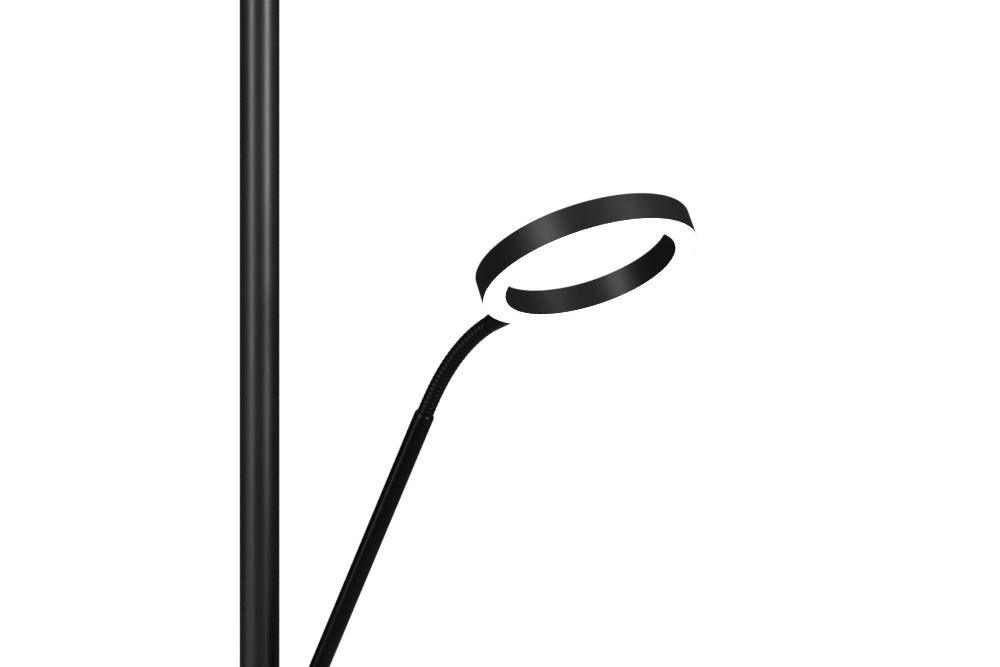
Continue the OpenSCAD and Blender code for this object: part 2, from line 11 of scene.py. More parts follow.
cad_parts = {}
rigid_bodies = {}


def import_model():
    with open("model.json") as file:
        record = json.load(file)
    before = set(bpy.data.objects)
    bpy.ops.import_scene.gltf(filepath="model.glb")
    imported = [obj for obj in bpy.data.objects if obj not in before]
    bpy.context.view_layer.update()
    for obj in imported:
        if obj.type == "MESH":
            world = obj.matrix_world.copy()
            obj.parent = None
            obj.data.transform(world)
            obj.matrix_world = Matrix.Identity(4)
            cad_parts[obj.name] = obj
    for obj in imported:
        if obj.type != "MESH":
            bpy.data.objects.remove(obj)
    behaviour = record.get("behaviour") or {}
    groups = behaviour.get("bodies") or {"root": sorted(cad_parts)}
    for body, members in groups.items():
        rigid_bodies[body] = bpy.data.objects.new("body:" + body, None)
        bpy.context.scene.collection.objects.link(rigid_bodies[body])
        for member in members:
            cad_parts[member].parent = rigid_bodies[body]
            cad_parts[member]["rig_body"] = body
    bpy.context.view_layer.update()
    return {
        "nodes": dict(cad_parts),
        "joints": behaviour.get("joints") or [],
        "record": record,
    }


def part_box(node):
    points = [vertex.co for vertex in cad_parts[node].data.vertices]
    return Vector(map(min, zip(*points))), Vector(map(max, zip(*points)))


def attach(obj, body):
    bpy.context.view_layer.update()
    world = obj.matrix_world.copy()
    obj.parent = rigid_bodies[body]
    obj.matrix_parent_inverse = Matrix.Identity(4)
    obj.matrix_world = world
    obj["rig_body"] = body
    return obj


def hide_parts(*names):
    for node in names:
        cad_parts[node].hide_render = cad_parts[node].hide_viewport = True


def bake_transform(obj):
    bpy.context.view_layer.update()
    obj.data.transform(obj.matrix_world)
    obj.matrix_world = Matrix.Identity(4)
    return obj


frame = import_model()

MM = 0.001
ROUND = 128  # faces round a turned piece
JOINTS = {j["name"]: j for j in frame["joints"]}
LINKS = sum(name.startswith("flex_link_") for name in frame["nodes"])
HEAD_ROLL = math.radians(-5.6)  # turn of the reading ring about its neck at rest


def joint_at(name):
    """Place of a joint's axis at rest."""
    return Vector(JOINTS[name]["pos_m"])


def spot(origin, z_axis):
    """Frame at origin with its Z along z_axis and its Y as near the world's Y as can be."""
    z = Vector(z_axis).normalized()
    y = Vector((0.0, 1.0, 0.0))
    y = (y - z * y.dot(z)).normalized()
    x = y.cross(z)
    rows = Matrix((x, y, z)).transposed().to_4x4()
    return Matrix.Translation(Vector(origin)) @ rows


def span(node):
    """Lowest corner, highest corner and centre of a node."""
    low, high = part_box(node)
    return low, high, (low + high) / 2


# ---------------------------------------------------------------- places

PIVOT = joint_at("arm_tilt")
TUBE_END = joint_at("flex_bend")
NECK_END = joint_at("head_turn")
NECK_WAY = Vector(JOINTS["head_turn"]["axis"])
ARM_WAY = (TUBE_END - PIVOT).normalized()
ARM_LEN = (TUBE_END - PIVOT).length

POLE_R = (span("upper_pole")[1].x - span("upper_pole")[0].x) / 2
POLE_WALL = 1.5 * MM
BASE_R = span("base_cover")[1].x

RING = {"od": 123 * MM, "id": 97.4 * MM, "h": 15.6 * MM, "reach": 17 * MM}
RING["centre"] = NECK_END + NECK_WAY * (RING["reach"] + RING["od"] / 2)
UP_LOW, UP_HIGH, UP_MID = span("uplight_housing")
UP_RING = {"od": UP_HIGH.y - UP_LOW.y, "id": 224 * MM, "h": UP_HIGH.z - UP_LOW.z}


def head_frame():
    """Z along the neck, Y to the ring's side, turned as the ring stands."""
    flat = spot(NECK_END, NECK_WAY)
    return flat @ Matrix.Rotation(HEAD_ROLL, 4, "Z")


def reading_ring_frame():
    """Z out of the ring's closed upper side."""
    turned = head_frame() @ Matrix.Translation((0, 0, RING["reach"] + RING["od"] / 2))
    return turned @ Matrix.Rotation(math.radians(-90), 4, "Y")


def up_ring_frame():
    """Z out of the uplighter's closed lower side."""
    return Matrix.Translation(UP_MID) @ Matrix.Rotation(math.pi, 4, "X")


# ---------------------------------------------------------------- shader groups


def socket(tree, name, kind, way="INPUT", value=None):
    made = tree.interface.new_socket(name=name, in_out=way, socket_type=kind)
    if value is not None:
        made.default_value = value
    return made


def math_node(tree, kind, a, b=None):
    node = tree.nodes.new("ShaderNodeMath")
    node.operation = kind
    for place, value in enumerate((a, b)):
        if value is None:
            continue
        if isinstance(value, (int, float)):
            node.inputs[place].default_value = value
        else:
            tree.links.new(value, node.inputs[place])
    return node.outputs[0]


def noise(tree, where, scale, detail=2.0, rough=0.5):
    node = tree.nodes.new("ShaderNodeTexNoise")
    tree.links.new(where, node.inputs["Vector"])
    if isinstance(scale, (int, float)):
        node.inputs["Scale"].default_value = scale
    else:
        tree.links.new(scale, node.inputs["Scale"])
    node.inputs["Detail"].default_value = detail
    node.inputs["Roughness"].default_value = rough
    return node.outputs["Fac"]


def spread(tree, value, low, high, to_low, to_high):
    """Maps value from low..high to to_low..to_high, held at the ends."""
    node = tree.nodes.new("ShaderNodeMapRange")
    tree.links.new(value, node.inputs["Value"])
    for name, number in (("From Min", low), ("From Max", high), ("To Min", to_low), ("To Max", to_high)):
        node.inputs[name].default_value = number
    return node.outputs["Result"]


def powder_grain():
    """Fine orange-peel of a sprayed finish. Height for a bump, and Tone for its colour."""
    tree = bpy.data.node_groups.new("powder_grain", "ShaderNodeTree")
    socket(tree, "Grain Size", "NodeSocketFloat", value=0.5)
    socket(tree, "Unevenness", "NodeSocketFloat", value=0.5)
    socket(tree, "Height", "NodeSocketFloat", "OUTPUT")
    socket(tree, "Tone", "NodeSocketFloat", "OUTPUT")
    given = tree.nodes.new("NodeGroupInput")
    out = tree.nodes.new("NodeGroupOutput")
    where = tree.nodes.new("ShaderNodeTexCoord").outputs["Object"]
    per_metre = math_node(tree, "DIVIDE", 1000.0, given.outputs["Grain Size"])
    fine = noise(tree, where, per_metre, 3.0, 0.6)
    peel = noise(tree, where, math_node(tree, "MULTIPLY", per_metre, 0.28), 1.0, 0.4)
    broad = noise(tree, where, 14.0, 3.0, 0.55)
    height = math_node(tree, "ADD", math_node(tree, "MULTIPLY", fine, 0.6), math_node(tree, "MULTIPLY", peel, 0.4))
    tone = math_node(tree, "MULTIPLY", math_node(tree, "SUBTRACT", broad, 0.5), given.outputs["Unevenness"])
    tone = math_node(tree, "ADD", tone, math_node(tree, "MULTIPLY", math_node(tree, "SUBTRACT", fine, 0.5), 0.5))
    tree.links.new(height, out.inputs["Height"])
    tree.links.new(math_node(tree, "ADD", tone, 0.5), out.inputs["Tone"])
    return tree


def settled_dust():
    """Dust on faces that look up, in a thin uneven film."""
    tree = bpy.data.node_groups.new("settled_dust", "ShaderNodeTree")
    socket(tree, "Amount", "NodeSocketFloat", value=0.3)
    socket(tree, "Mask", "NodeSocketFloat", "OUTPUT")
    given = tree.nodes.new("NodeGroupInput")
    out = tree.nodes.new("NodeGroupOutput")
    where = tree.nodes.new("ShaderNodeTexCoord").outputs["Object"]
    facing = tree.nodes.new("ShaderNodeSeparateXYZ")
    tree.links.new(tree.nodes.new("ShaderNodeNewGeometry").outputs["Normal"], facing.inputs[0])
    up = spread(tree, facing.outputs["Z"], 0.35, 1.0, 0.0, 1.0)
    film = spread(tree, noise(tree, where, 60.0, 4.0, 0.6), 0.35, 0.7, 0.35, 1.0)
    specks = spread(tree, noise(tree, where, 1400.0, 1.0, 0.5), 0.66, 0.74, 0.0, 1.0)
    lying = math_node(tree, "MULTIPLY", up, math_node(tree, "ADD", film, specks))
    tree.links.new(math_node(tree, "MULTIPLY", lying, given.outputs["Amount"]), out.inputs["Mask"])
    return tree


def rubbed_edges():
    """Wear where an edge stands proud, broken up along its length."""
    tree = bpy.data.node_groups.new("rubbed_edges", "ShaderNodeTree")
    socket(tree, "Amount", "NodeSocketFloat", value=0.3)
    socket(tree, "Mask", "NodeSocketFloat", "OUTPUT")
    given = tree.nodes.new("NodeGroupInput")
    out = tree.nodes.new("NodeGroupOutput")
    where = tree.nodes.new("ShaderNodeTexCoord").outputs["Object"]
    point = tree.nodes.new("ShaderNodeNewGeometry").outputs["Pointiness"]
    edge = spread(tree, point, 0.52, 0.6, 0.0, 1.0)
    broken = spread(tree, noise(tree, where, 320.0, 4.0, 0.65), 0.45, 0.7, 0.0, 1.0)
    both = math_node(tree, "MULTIPLY", edge, broken)
    tree.links.new(math_node(tree, "MULTIPLY", both, given.outputs["Amount"]), out.inputs["Mask"])
    return tree


def turning_marks():
    """Fine brushed or turned lines along one axis of the piece."""
    tree = bpy.data.node_groups.new("turning_marks", "ShaderNodeTree")
    socket(tree, "Stretch", "NodeSocketVector", value=(1.0, 1.0, 30.0))
    socket(tree, "Height", "NodeSocketFloat", "OUTPUT")
    given = tree.nodes.new("NodeGroupInput")
    out = tree.nodes.new("NodeGroupOutput")
    where = tree.nodes.new("ShaderNodeTexCoord").outputs["Object"]
    drawn = tree.nodes.new("ShaderNodeVectorMath")
    drawn.operation = "MULTIPLY"
    tree.links.new(where, drawn.inputs[0])
    tree.links.new(given.outputs["Stretch"], drawn.inputs[1])
    lines = noise(tree, drawn.outputs[0], 100.0, 3.0, 0.6)
    tree.links.new(lines, out.inputs["Height"])
    return tree


GRAIN = powder_grain()
DUST = settled_dust()
WEAR = rubbed_edges()
MARKS = turning_marks()


# ---------------------------------------------------------------- materials


BARE_EDGE = (0.32, 0.31, 0.3)
GREY_DUST = (0.33, 0.31, 0.28)
PALE_DUST = (0.36, 0.34, 0.31)


def use_group(tree, group, **values):
    """Group node with its named inputs set."""
    node = tree.nodes.new("ShaderNodeGroup")
    node.node_tree = group
    for name, value in values.items():
        node.inputs[name.replace("_", " ").title()].default_value = value
    return node


def blended(tree, mask, first, second):
    """Colour that goes from first to second by mask."""
    node = tree.nodes.new("ShaderNodeMix")
    node.data_type = "RGBA"
    tree.links.new(mask, node.inputs["Factor"])
    for place, colour in ((6, first), (7, second)):
        if isinstance(colour, (tuple, list)):
            node.inputs[place].default_value = (*colour, 1.0)
        else:
            tree.links.new(colour, node.inputs[place])
    return node.outputs[2]


def bump(tree, height, strength, depth_mm):
    node = tree.nodes.new("ShaderNodeBump")
    node.inputs["Strength"].default_value = strength
    node.inputs["Distance"].default_value = depth_mm * MM
    tree.links.new(height, node.inputs["Height"])
    return node.outputs["Normal"]


def new_material(name):
    material = bpy.data.materials.new(name)
    material.use_nodes = True
    tree = material.node_tree
    return material, tree, tree.nodes["Principled BSDF"]


def sprayed(name, dark, light, rough, grain_mm=0.45, depth_mm=0.02, dust=0.06, wear=0.2,
            specular=0.5):
    """Sprayed or anodised black finish with grain, dust on top and rubbed edges."""
    material, tree, shader = new_material(name)
    grain = use_group(tree, GRAIN, grain_size=grain_mm, unevenness=0.9)
    film = use_group(tree, DUST, amount=dust)
    worn = use_group(tree, WEAR, amount=wear)
    colour = blended(tree, grain.outputs["Tone"], dark, light)
    colour = blended(tree, worn.outputs["Mask"], colour, BARE_EDGE)
    colour = blended(tree, film.outputs["Mask"], colour, GREY_DUST)
    tree.links.new(colour, shader.inputs["Base Color"])
    matt = spread(tree, grain.outputs["Tone"], 0.2, 0.8, rough - 0.05, rough + 0.07)
    matt = math_node(tree, "ADD", matt, math_node(tree, "MULTIPLY", film.outputs["Mask"], 0.35))
    tree.links.new(matt, shader.inputs["Roughness"])
    tree.links.new(bump(tree, grain.outputs["Height"], 0.6, depth_mm), shader.inputs["Normal"])
    shader.inputs["Specular IOR Level"].default_value = specular
    return material


def bare_metal(name, colour, rough, stretch=(1.0, 1.0, 30.0)):
    """Machined or brushed metal."""
    material, tree, shader = new_material(name)
    marks = use_group(tree, MARKS, stretch=stretch)
    grain = use_group(tree, GRAIN, grain_size=2.0, unevenness=1.4)
    darker = tuple(c * 0.72 for c in colour)
    tone = math_node(tree, "MULTIPLY", math_node(tree, "ADD", marks.outputs["Height"], grain.outputs["Tone"]), 0.5)
    tree.links.new(blended(tree, tone, darker, colour), shader.inputs["Base Color"])
    tree.links.new(spread(tree, tone, 0.3, 0.7, rough + 0.08, rough - 0.06), shader.inputs["Roughness"])
    tree.links.new(bump(tree, marks.outputs["Height"], 0.4, 0.01), shader.inputs["Normal"])
    shader.inputs["Metallic"].default_value = 1.0
    return material


def cast_iron():
    """Rough sand-cast skin with a thin oil-dark coat."""
    material, tree, shader = new_material("cast_iron_skin")
    skin = use_group(tree, GRAIN, grain_size=1.6, unevenness=1.6)
    colour = blended(tree, skin.outputs["Tone"], (0.045, 0.045, 0.048), (0.13, 0.125, 0.12))
    tree.links.new(colour, shader.inputs["Base Color"])
    tree.links.new(spread(tree, skin.outputs["Tone"], 0.2, 0.8, 0.55, 0.85), shader.inputs["Roughness"])
    tree.links.new(bump(tree, skin.outputs["Height"], 0.8, 0.25), shader.inputs["Normal"])
    shader.inputs["Metallic"].default_value = 0.6
    return material


def moulded(name, dark, light, rough, grain_mm=0.35, depth_mm=0.03, dust=0.06):
    """Moulded plastic or rubber with a fine spark texture."""
    material, tree, shader = new_material(name)
    grain = use_group(tree, GRAIN, grain_size=grain_mm, unevenness=0.7)
    film = use_group(tree, DUST, amount=dust)
    colour = blended(tree, grain.outputs["Tone"], dark, light)
    colour = blended(tree, film.outputs["Mask"], colour, PALE_DUST)
    tree.links.new(colour, shader.inputs["Base Color"])
    matt = spread(tree, grain.outputs["Tone"], 0.2, 0.8, rough - 0.06, rough + 0.08)
    tree.links.new(matt, shader.inputs["Roughness"])
    tree.links.new(bump(tree, grain.outputs["Height"], 0.7, depth_mm), shader.inputs["Normal"])
    return material


def lit_opal(name, strength):
    """Opal acrylic that glows evenly, a little fuller over the diodes."""
    material, tree, shader = new_material(name)
    grain = use_group(tree, GRAIN, grain_size=0.8, unevenness=0.8)
    where = tree.nodes.new("ShaderNodeTexCoord").outputs["Object"]
    glow = noise(tree, where, 26.0, 1.0, 0.4)
    colour = blended(tree, grain.outputs["Tone"], (0.86, 0.86, 0.84), (0.94, 0.94, 0.92))
    tree.links.new(colour, shader.inputs["Base Color"])
    tree.links.new(blended(tree, glow, (1.0, 0.965, 0.93), (1.0, 0.99, 0.975)), shader.inputs["Emission Color"])
    shader.inputs["Emission Strength"].default_value = strength
    tree.links.new(spread(tree, grain.outputs["Tone"], 0.2, 0.8, 0.3, 0.42), shader.inputs["Roughness"])
    tree.links.new(bump(tree, grain.outputs["Height"], 0.3, 0.01), shader.inputs["Normal"])
    return material


def circuit(name, dark, light):
    """Solder mask over faint tracks."""
    material, tree, shader = new_material(name)
    where = tree.nodes.new("ShaderNodeTexCoord").outputs["Object"]
    tracks = tree.nodes.new("ShaderNodeTexBrick")
    tree.links.new(where, tracks.inputs["Vector"])
    tracks.inputs["Scale"].default_value = 160.0
    tracks.inputs["Mortar Size"].default_value = 0.05
    tracks.inputs["Color1"].default_value = (1, 1, 1, 1)
    tracks.inputs["Color2"].default_value = (0.8, 0.8, 0.8, 1)
    tracks.inputs["Mortar"].default_value = (0, 0, 0, 1)
    grain = use_group(tree, GRAIN, grain_size=1.2, unevenness=0.6)
    tone = math_node(tree, "MULTIPLY", math_node(tree, "ADD", tracks.outputs["Fac"], grain.outputs["Tone"]), 0.5)
    tree.links.new(blended(tree, tone, light, dark), shader.inputs["Base Color"])
    tree.links.new(spread(tree, grain.outputs["Tone"], 0.2, 0.8, 0.3, 0.45), shader.inputs["Roughness"])
    tree.links.new(bump(tree, tone, 0.3, 0.02), shader.inputs["Normal"])
    return material


def grey(value):
    return (value, value, value)


WHITE = (0.8, 0.8, 0.78)
OFF_WHITE = (0.7, 0.7, 0.68)
LOOK = {
    "pole": sprayed("pole_satin_black", (0.007, 0.0062, 0.0065), (0.012, 0.0108, 0.011), rough=0.39,
                    depth_mm=0.012, specular=0.4),
    "housing": sprayed("housing_satin_black", (0.0085, 0.0075, 0.0078), (0.014, 0.0125, 0.0128), rough=0.4,
                       depth_mm=0.014, wear=0.0, specular=0.4),
    "ring": sprayed("ring_anodised_black", (0.007, 0.006, 0.0063), (0.012, 0.0104, 0.011), rough=0.38,
                    grain_mm=0.3, depth_mm=0.008, specular=0.3),
    "cover": sprayed("cover_powder_black", (0.0095, 0.0085, 0.0088), (0.015, 0.0135, 0.0138), rough=0.4,
                     grain_mm=0.6, depth_mm=0.03, dust=0.1, specular=0.45),
    "tube": sprayed("tube_satin_black", (0.0016, 0.0015, 0.0015), (0.003, 0.0028, 0.0028), rough=0.27,
                    grain_mm=0.4, depth_mm=0.006, dust=0.04, wear=0.15, specular=0.18),
    "neck": sprayed("neck_black_finish", (0.0016, 0.0016, 0.0017), (0.003, 0.0029, 0.003), rough=0.34,
                    grain_mm=0.3, depth_mm=0.003, dust=0.03, wear=0.08, specular=0.16),
    "knob": moulded("knob_matt_black", grey(0.014), grey(0.024), rough=0.5),
    "steel": bare_metal("zinc_plated_steel", (0.62, 0.62, 0.63), rough=0.3),
    "drawn": bare_metal("drawn_steel", (0.56, 0.56, 0.57), rough=0.34, stretch=(30.0, 30.0, 1.0)),
    "brass": bare_metal("turned_brass", (0.72, 0.53, 0.25), rough=0.26),
    "iron": cast_iron(),
    "pad": moulded("foam_rubber", grey(0.012), grey(0.03), rough=0.85, grain_mm=0.9, depth_mm=0.15, dust=0.0),
    "grommet": moulded("soft_black_rubber", grey(0.012), grey(0.022), rough=0.7, grain_mm=0.5, depth_mm=0.02),
    "cable": moulded("cable_sheath", grey(0.012), grey(0.02), rough=0.5, grain_mm=0.6, depth_mm=0.01),
    "opal": lit_opal("opal_reading", 2.2),
    "opal_up": lit_opal("opal_uplight", 2.2),
    "driver": moulded("driver_case", OFF_WHITE, WHITE, rough=0.5, grain_mm=0.6, dust=0.0),
    "board": circuit("white_board", (0.62, 0.62, 0.6), WHITE),
    "green": circuit("green_board", (0.012, 0.09, 0.035), (0.03, 0.19, 0.08)),
    "paint": moulded("pointer_paint", OFF_WHITE, WHITE, rough=0.5, grain_mm=0.5, depth_mm=0.01, dust=0.0),
}

# material slots are named look_colour or look_stuff, except the green board's
SLOT_LOOK = {slot: slot.split("_")[0] for slot in {s["material_slot"] for s in frame["record"]["subparts"]}}
SLOT_LOOK["board_green"] = "green"
NODE_SLOT = {s["node"]: s["material_slot"] for s in frame["record"]["subparts"]}
for name, node in frame["nodes"].items():
    node.data.materials.clear()
    node.data.materials.append(LOOK[SLOT_LOOK[NODE_SLOT[name]]])


# ---------------------------------------------------------------- mesh tools


def rounded(corners, steps=5, guard=0.35 * MM):
    """Outline with its corners filleted. A corner is (r, z) or (r, z, fillet), in metres. Extra
    points beside each fillet keep the flat faces flat when shaded smooth."""
    points = [Vector(c[:2]) for c in corners]
    fillets = [c[2] if len(c) > 2 else 0.0 for c in corners]
    count = len(points)
    outline = []
    for i in range(count):
        here, back, ahead = points[i], points[i - 1], points[(i + 1) % count]
        to_back, to_ahead = (back - here), (ahead - here)
        room_back, room_ahead = to_back.length, to_ahead.length
        to_back.normalize()
        to_ahead.normalize()
        if fillets[i] <= 0:
            outline.append(here)
            continue
        half = math.acos(max(-1.0, min(1.0, to_back.dot(to_ahead)))) / 2
        cut = fillets[i] / math.tan(half)
        centre = here + (to_back + to_ahead).normalized() * (fillets[i] / math.sin(half))
        first, last = here + to_back * cut, here + to_ahead * cut
        if room_back > cut + 3 * guard:
            outline.append(first + to_back * guard)
        a = first - centre
        turn_by = a.angle_signed(last - centre)
        for s in range(steps + 1):
            outline.append(centre + Matrix.Rotation(-turn_by * s / steps, 2) @ a)
        if room_ahead > cut + 3 * guard:
            outline.append(last + to_ahead * guard)
    return [(max(p.x, 0.0), p.y) for p in outline]


def area(outline):
    count = len(outline)
    return sum(
        outline[i][0] * outline[(i + 1) % count][1] - outline[(i + 1) % count][0] * outline[i][1]
        for i in range(count)
    )


def turned(outline, place=None, around=ROUND, shape=None):
    """bmesh of a closed outline turned about Z. shape(angle, r, z) may change the radius."""
    if area(outline) < 0:
        outline = outline[::-1]
    bm = bmesh.new()
    columns = []
    for r, z in outline:
        if r < 1e-7:
            columns.append([bm.verts.new((0, 0, z))] * around)
            continue
        column = []
        for k in range(around):
            angle = 2 * math.pi * k / around
            radius = shape(angle, r, z) if shape else r
            column.append(bm.verts.new((radius * math.cos(angle), radius * math.sin(angle), z)))
        columns.append(column)
    count = len(outline)
    for i in range(count):
        p, q = columns[i], columns[(i + 1) % count]
        for k in range(around):
            n = (k + 1) % around
            ring = []
            for v in (p[k], p[n], q[n], q[k]):
                if v not in ring:
                    ring.append(v)
            if len(ring) > 2:
                bm.faces.new(ring)
    if place is not None:
        bm.transform(place)
    return bm


def as_piece(name, bm, body, look, stands_for=(), sharp=35.0):
    """Object from a bmesh, shaded smooth but for its sharp edges, riding on its body."""
    mesh = bpy.data.meshes.new(name)
    bm.to_mesh(mesh)
    bm.free()
    return dressed(name, mesh, body, look, stands_for, sharp)


def dressed(name, mesh, body, look, stands_for=(), sharp=35.0):
    mesh.polygons.foreach_set("use_smooth", [True] * len(mesh.polygons))
    mesh.set_sharp_from_angle(angle=math.radians(sharp))
    obj = bpy.data.objects.new(name, mesh)
    bpy.context.scene.collection.objects.link(obj)
    if not mesh.materials:
        mesh.materials.append(LOOK[look])
    if body:
        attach(obj, body)
    if stands_for:
        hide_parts(*stands_for)
    return obj


def machined(node, look=None, edge=0.3):
    """Copy of a CAD node in its place, with its facets merged and its edges broken by edge mm."""
    weld, flat, corner = 0.002 * MM, math.radians(0.6), math.radians(28)
    body = frame["nodes"][node]["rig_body"]
    bm = bmesh.new()
    bm.from_mesh(frame["nodes"][node].data)
    bmesh.ops.remove_doubles(bm, verts=bm.verts, dist=weld)
    bmesh.ops.dissolve_degenerate(bm, edges=bm.edges, dist=weld)
    bmesh.ops.dissolve_limit(bm, angle_limit=flat, verts=bm.verts, edges=bm.edges)
    mesh = bpy.data.meshes.new(node + "_finished")
    bm.to_mesh(mesh)
    bm.free()
    mesh.materials.clear()
    obj = dressed(node + "_finished", mesh, body, look or SLOT_LOOK[NODE_SLOT[node]], (node,), 40.0)
    bevel = obj.modifiers.new("broken_edges", "BEVEL")
    bevel.width = edge * MM
    bevel.segments = 3
    bevel.limit_method = "ANGLE"
    bevel.angle_limit = corner
    bevel.use_clamp_overlap = True
    bevel.harden_normals = True


# ---------------------------------------------------------------- base


def with_hole(shell, cutter_bm, look):
    """Cuts the closed form cutter_bm out of a piece, for good."""
    name = shell.data.name
    cutter_mesh = bpy.data.meshes.new("cutter")
    cutter_bm.to_mesh(cutter_mesh)
    cutter_bm.free()
    cutter = bpy.data.objects.new("cutter", cutter_mesh)
    bpy.context.scene.collection.objects.link(cutter)
    hole = shell.modifiers.new("hole", "BOOLEAN")
    hole.object = cutter
    hole.solver = "EXACT"
    graph = bpy.context.evaluated_depsgraph_get()
    cut = bpy.data.meshes.new_from_object(shell.evaluated_get(graph))
    shell.modifiers.remove(hole)
    old = shell.data
    shell.data = cut
    bpy.data.meshes.remove(old)
    bpy.data.objects.remove(cutter)
    bpy.data.meshes.remove(cutter_mesh)
    cut.name = name
    cut.materials.clear()
    cut.materials.append(LOOK[look])
    cut.polygons.foreach_set("use_smooth", [True] * len(cut.polygons))
    cut.set_sharp_from_angle(angle=math.radians(35))


def make_cover():
    low, high, _ = span("base_cover")
    edge, wall = 7 * MM, 1.5 * MM
    outline = rounded([
        (0, high.z), (BASE_R, high.z, edge), (BASE_R, low.z, 0.4 * MM),
        (BASE_R - wall, low.z, 0.3 * MM), (BASE_R - wall, high.z - wall, edge - wall), (0, high.z - wall),
    ], 10, 1.5 * MM)
    shell = as_piece("base_cover_shell", turned(outline, around=256), "stand", "cover", ["base_cover"])
    hole_r, reach = 5.95 * MM, 20 * MM
    across = Matrix.Translation(span("cord_grommet")[2]) @ Matrix.Rotation(math.radians(-90), 4, "X")
    with_hole(shell, turned([(0, -reach), (hole_r, -reach), (hole_r, reach), (0, reach)], across, 64), "cover")


def make_inlet():
    low, high, mid = span("cord_grommet")
    depth = high.y - low.y
    place = Matrix.Translation((mid.x, low.y, mid.z)) @ Matrix.Rotation(math.radians(-90), 4, "X")
    flange, neck, bore = 7.6 * MM, 5.9 * MM, 3.6 * MM
    inside, outside = 2.2 * MM, depth - 2.3 * MM
    lip = rounded([
        (bore, 0, 0.4 * MM), (flange, 0, 0.5 * MM), (flange, inside, 0.4 * MM), (neck, inside, 0.2 * MM),
        (neck, outside, 0.2 * MM), (flange, outside, 0.3 * MM), (flange, depth, 0.9 * MM), (bore, depth, 0.7 * MM),
    ], 5, 0.1 * MM)
    as_piece("inlet_grommet", turned(lip, place, 96), "stand", "grommet", ["cord_grommet"])


def make_collar():
    low, high, _ = span("pole_collar")
    foot, top = high.x, high.z - low.z
    bore, rim, edge, cove = POLE_R + 0.05 * MM, 14.5 * MM, 1.3 * MM, 6.5 * MM
    flare = [(bore, 0), (foot, 0), (foot, edge)]
    for s in range(13):
        angle = math.radians(270 - 90 * s / 12)
        flare.append((foot + cove * math.cos(angle), 8 * MM + cove * math.sin(angle)))
    flare += [(rim, top - 0.6 * MM), (rim - 0.2 * MM, top - 0.2 * MM), (rim - 0.6 * MM, top), (bore, top)]
    as_piece("flared_collar", turned(flare, Matrix.Translation((0, 0, low.z))), "stand", "cover", ["pole_collar"])


def make_base():
    make_cover()
    make_inlet()
    make_collar()
    machined("base_screws", edge=0.15)


# ---------------------------------------------------------------- pole


def make_tube(node, name):
    low, high, _ = span(node)
    inner = POLE_R - POLE_WALL
    outline = rounded([
        (inner, low.z), (POLE_R, low.z, 0.35 * MM), (POLE_R, high.z, 0.35 * MM), (inner, high.z, 0.2 * MM),
    ], 4, 0.5 * MM)
    as_piece(name, turned(outline), "stand", "pole", [node])


def make_pole():
    for part in ("lower", "middle", "upper"):
        make_tube(part + "_pole", part + "_tube")
    machined("pole_coupler", "drawn", edge=0.2)


# ---------------------------------------------------------------- dimmer housing


def make_housing():
    for node in ("hub_housing", "hub_lower_cap", "hub_upper_cap"):
        machined(node, "housing", edge=0.4)
    machined("hub_set_screws", edge=0.1)
    for node, body in (("uplight_knob", "uplight_dimmer"), ("reading_knob", "reading_dimmer")):
        make_knob(node, body)


def make_knob(node, body):
    low, high, mid = span(node)
    radius, length = (high.y - low.y) / 2, high.x - low.x
    place = Matrix.Translation((low.x, mid.y, mid.z)) @ Matrix.Rotation(math.radians(90), 4, "Y")
    bore, bore_depth = 3.05 * MM, 8 * MM
    skirt, flutes, flute_depth = 2.0 * MM, 24, 0.45 * MM
    face = length - 0.35 * MM
    outline = rounded([
        (0, bore_depth), (bore, bore_depth), (bore, 0, 0.2 * MM), (radius, 0, 0.4 * MM), (radius, 1.8 * MM),
        (radius, 2.4 * MM), (radius, length, 1.2 * MM), (radius * 0.72, length, 0.3 * MM),
        (radius * 0.66, face, 0.3 * MM), (0, face),
    ], 5, 0.3 * MM)

    def fluted(angle, r, z):
        if r < radius * 0.8 or z < skirt:
            return r
        ease = min(1.0, (z - skirt) / (0.5 * MM))
        wave = math.cos(flutes * angle + math.pi)
        return r - flute_depth * ease * max(0.0, wave) ** 0.7

    body_bm = turned(outline, place, 288, fluted)
    as_piece(node + "_grip", body_bm, body, "knob", [node], 50.0)
    line = bmesh.new()
    bmesh.ops.create_cube(line, size=1.0)
    bmesh.ops.scale(line, vec=(radius * 0.5, 0.8 * MM, 0.3 * MM), verts=line.verts)
    bmesh.ops.bevel(line, geom=line.edges, offset=0.1 * MM, segments=2, profile=0.5, affect="EDGES")
    bmesh.ops.translate(line, vec=(-radius * 0.38, 0, face - 0.03 * MM), verts=line.verts)
    line.transform(place)
    as_piece(node + "_pointer", line, body, "paint")


# ---------------------------------------------------------------- reading arm


def make_arm():
    for node in ("arm_clevis", "arm_knuckle"):
        machined(node, "housing", edge=0.5)
    for node in ("arm_pivot_screw", "arm_pivot_nut"):
        machined(node, edge=0.2)
    machined("flex_plug", edge=0.2)
    place = spot(PIVOT, ARM_WAY)
    radius, bore, seat, end = 6 * MM, 5 * MM, 18 * MM, ARM_LEN
    mouth, drawn_in = 5.03 * MM, 5 * MM
    outline = rounded([
        (bore, seat), (radius, seat, 0.2 * MM), (radius, end - 0.9 * MM, 2.5 * MM),
        (mouth + 0.3 * MM, end, 0.25 * MM), (mouth, end - 0.5 * MM, 0.1 * MM), (mouth, end - drawn_in),
        (bore, end - drawn_in - 0.2 * MM),
    ], 6, 0.5 * MM)
    as_piece("arm_tube_drawn", turned(outline, place), "arm", "tube", ["arm_tube"])


